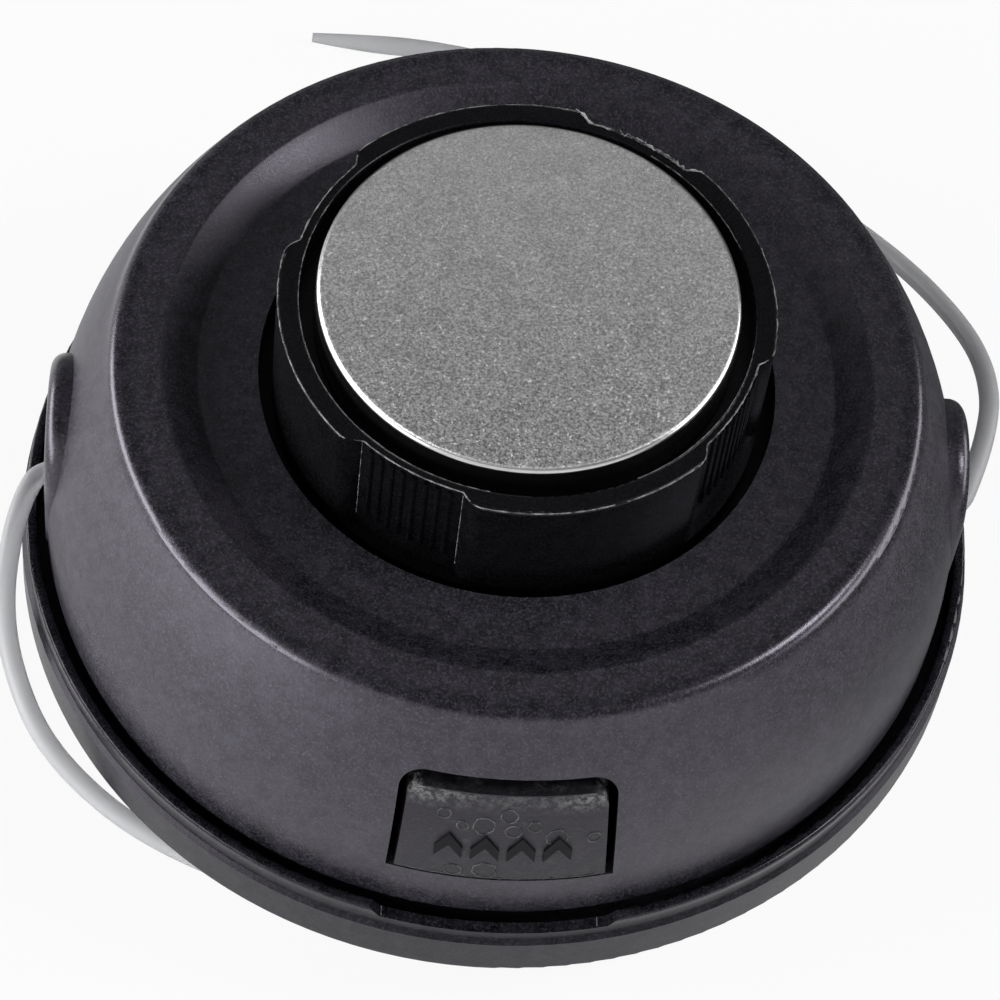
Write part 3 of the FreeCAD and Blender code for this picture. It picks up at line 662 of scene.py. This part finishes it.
def area_light(name, azimuth, elevation, width, height, power):
    """Soft light panel aimed at the part, in metres and watts."""
    light = bpy.data.lights.new(name, "AREA")
    light.shape = "RECTANGLE"
    light.size = width
    light.size_y = height
    light.energy = power
    lamp = bpy.data.objects.new(name, light)
    a = math.radians(azimuth)
    e = math.radians(elevation)
    way = Vector((math.cos(a) * math.cos(e), math.sin(a) * math.cos(e), math.sin(e)))
    lamp.location = VIEW_TARGET * MM + way * LIGHT_DISTANCE
    lamp.rotation_mode = "QUATERNION"
    lamp.rotation_quaternion = way.to_track_quat("Z", "Y")
    bpy.context.scene.collection.objects.link(lamp)


def make_floor():
    """Pale floor that the camera and reflections see as nearly white, with a little shadow."""
    bpy.ops.mesh.primitive_plane_add(size=FLOOR_SIZE, location=(0, 0, 0))
    floor = bpy.context.object
    floor.name = "floor"
    material = bpy.data.materials.new("pale_floor")
    material.use_nodes = True
    material.node_tree.nodes.clear()
    nodes = Nodes(material.node_tree)
    diffuse = nodes.add("BsdfDiffuse", Color=colour(FLOOR_GREY))
    glow = nodes.add("Emission", Color=colour(WHITE))
    path = nodes.add("LightPath")
    camera = path.outputs["Is Camera Ray"]
    mirrored = nodes.math("MAXIMUM", path.outputs["Is Glossy Ray"], path.outputs["Is Transmission Ray"])
    seen = nodes.math("MAXIMUM", camera, mirrored)
    side = split(nodes, nodes.add("TexCoord").outputs["Object"])
    back_right = nodes.math("ADD", side.outputs["Y"], side.outputs["X"])
    lit = ramp(nodes, back_right, *FLOOR_FADE, start=1.0, end=FLOOR_RIGHT)
    nodes.link(nodes.math("MAXIMUM", camera, nodes.math("MULTIPLY", mirrored, lit)), glow.inputs["Strength"])
    mix = nodes.add("MixShader")
    nodes.link(nodes.math("MULTIPLY", seen, FLOOR_WHITE), mix.inputs[0])
    nodes.link(diffuse.outputs[0], mix.inputs[1])
    nodes.link(glow.outputs[0], mix.inputs[2])
    output = nodes.add("OutputMaterial")
    nodes.link(mix.outputs[0], output.inputs["Surface"])
    floor.data.materials.append(material)


def make_world():
    """Studio room: a white sweep at the horizon under a dim ceiling."""
    world = bpy.data.worlds.new("studio")
    bpy.context.scene.world = world
    world.use_nodes = True
    world.node_tree.nodes.clear()
    nodes = Nodes(world.node_tree)
    way = nodes.add("TexCoord")
    room = nodes.add("Background", Color=colour(WHITE))
    lean = nodes.add("VectorMath")
    lean.operation = "DOT_PRODUCT"
    lean.inputs[1].default_value = ROOM_DIM_WAY
    nodes.link(way.outputs["Generated"], lean.inputs[0])
    nodes.link(ramp(nodes, lean.outputs["Value"], *ROOM_FADE, ROOM_LOW, ROOM_HIGH), room.inputs["Strength"])
    white = nodes.add("Background", Color=colour(WHITE), Strength=1.0)
    path = nodes.add("LightPath")
    mix = nodes.add("MixShader")
    nodes.link(path.outputs["Is Camera Ray"], mix.inputs[0])
    nodes.link(room.outputs[0], mix.inputs[1])
    nodes.link(white.outputs[0], mix.inputs[2])
    output = nodes.add("OutputWorld")
    nodes.link(mix.outputs[0], output.inputs["Surface"])


def make_camera():
    """Camera that sees the part as the photograph does."""
    a = math.radians(VIEW_AZIMUTH)
    e = math.radians(VIEW_ELEVATION)
    back = Vector((math.sin(a) * math.cos(e), -math.cos(a) * math.cos(e), math.sin(e)))
    right = Vector((math.cos(a), math.sin(a), 0))
    up = back.cross(right)
    roll = math.radians(VIEW_ROLL)
    across = right * math.cos(roll) + up * math.sin(roll)
    upright = up * math.cos(roll) - right * math.sin(roll)
    data = bpy.data.cameras.new("camera")
    data.lens = LENS
    data.sensor_width = SENSOR
    data.clip_start = VIEW_NEAR * MM
    camera = bpy.data.objects.new("camera", data)
    turn = Matrix((across, upright, back)).transposed().to_4x4()
    turn.translation = (VIEW_TARGET + back * VIEW_DISTANCE) * MM
    camera.matrix_world = turn
    bpy.context.scene.collection.objects.link(camera)
    bpy.context.scene.camera = camera


bpy.context.scene.view_settings.view_transform = "Standard"
make_camera()
make_world()
make_floor()
area_light("high_softbox", azimuth=-8, elevation=47, width=0.25, height=0.25, power=2.5)
area_light("left_panel", azimuth=186, elevation=13, width=1.5, height=0.36, power=11.5)
area_light("right_panel", azimuth=6, elevation=12, width=0.85, height=0.30, power=3.5)

cover_plastic = black_plastic(
    "cover_plastic", BLACK, COVER_IOR, roughness=0.47, grain=0.25, dusty=9.0, specks=0.1,
    polish=(SHOULDER_POLISH, HOOD_POLISH, STEP_POLISH))
base_plastic = black_plastic(
    "base_plastic", BLACK, BASE_IOR, roughness=0.38, grain=0.25, dusty=6.0, specks=0.06, polish=(LIP_POLISH,))
assign(cover_plastic, "cover")
assign(base_plastic, "base_housing")
assign(black_plastic("knob_plastic", KNOB_BLACK, KNOB_IOR, roughness=0.30, grain=0.1), "bump_knob")
assign(black_plastic("spool_plastic", BLACK, BASE_IOR, roughness=0.45, grain=0.2), "spool")
assign(worn_plastic("latch_plastic", BLACK), "latch_front", "latch_rear")
assign(steel_face("cap_steel"), "steel_cap")
steel = plain_steel("plain_steel", STEEL)
assign(steel, "drive_insert", "spring_washer_lower", "spring_washer_upper")
spring_coil(steel)
assign(plain_steel("eyelet_metal", EYELET_STEEL), "eyelet_left", "eyelet_right")
line = nylon_line("line_nylon")
assign(line, "line_winding_lower", "line_winding_upper")

knob_flash(pale_flash("knob_flash", low=0.03, high=0.32))
knob_burrs(pale_flash("knob_burr", low=0.03, high=0.5))
tab_scuffs(pale_flash("tab_flash", low=0.015, high=0.11))
notch_marks(pale_flash("rim_flash", low=0.10, high=0.25))
mark_plastic = black_plastic("mark_plastic", MARK_BLACK, MARK_IOR, roughness=0.6, grain=0.2)
press_mark("press_mark_front", "latch_front", 0, "front_latch", mark_plastic)
press_mark("press_mark_rear", "latch_rear", 180, "rear_latch", mark_plastic)

for tail_name, route, length, tip in (
    ("line_left", TAIL_LEFT, TAIL_LEFT_LENGTH, TAIL_LEFT_TIP),
    ("line_right", TAIL_RIGHT, TAIL_RIGHT_LENGTH, TAIL_RIGHT_TIP),
):
    tail = cord_curve(tail_name, route, tip, line)

bpy.context.view_layer.update()
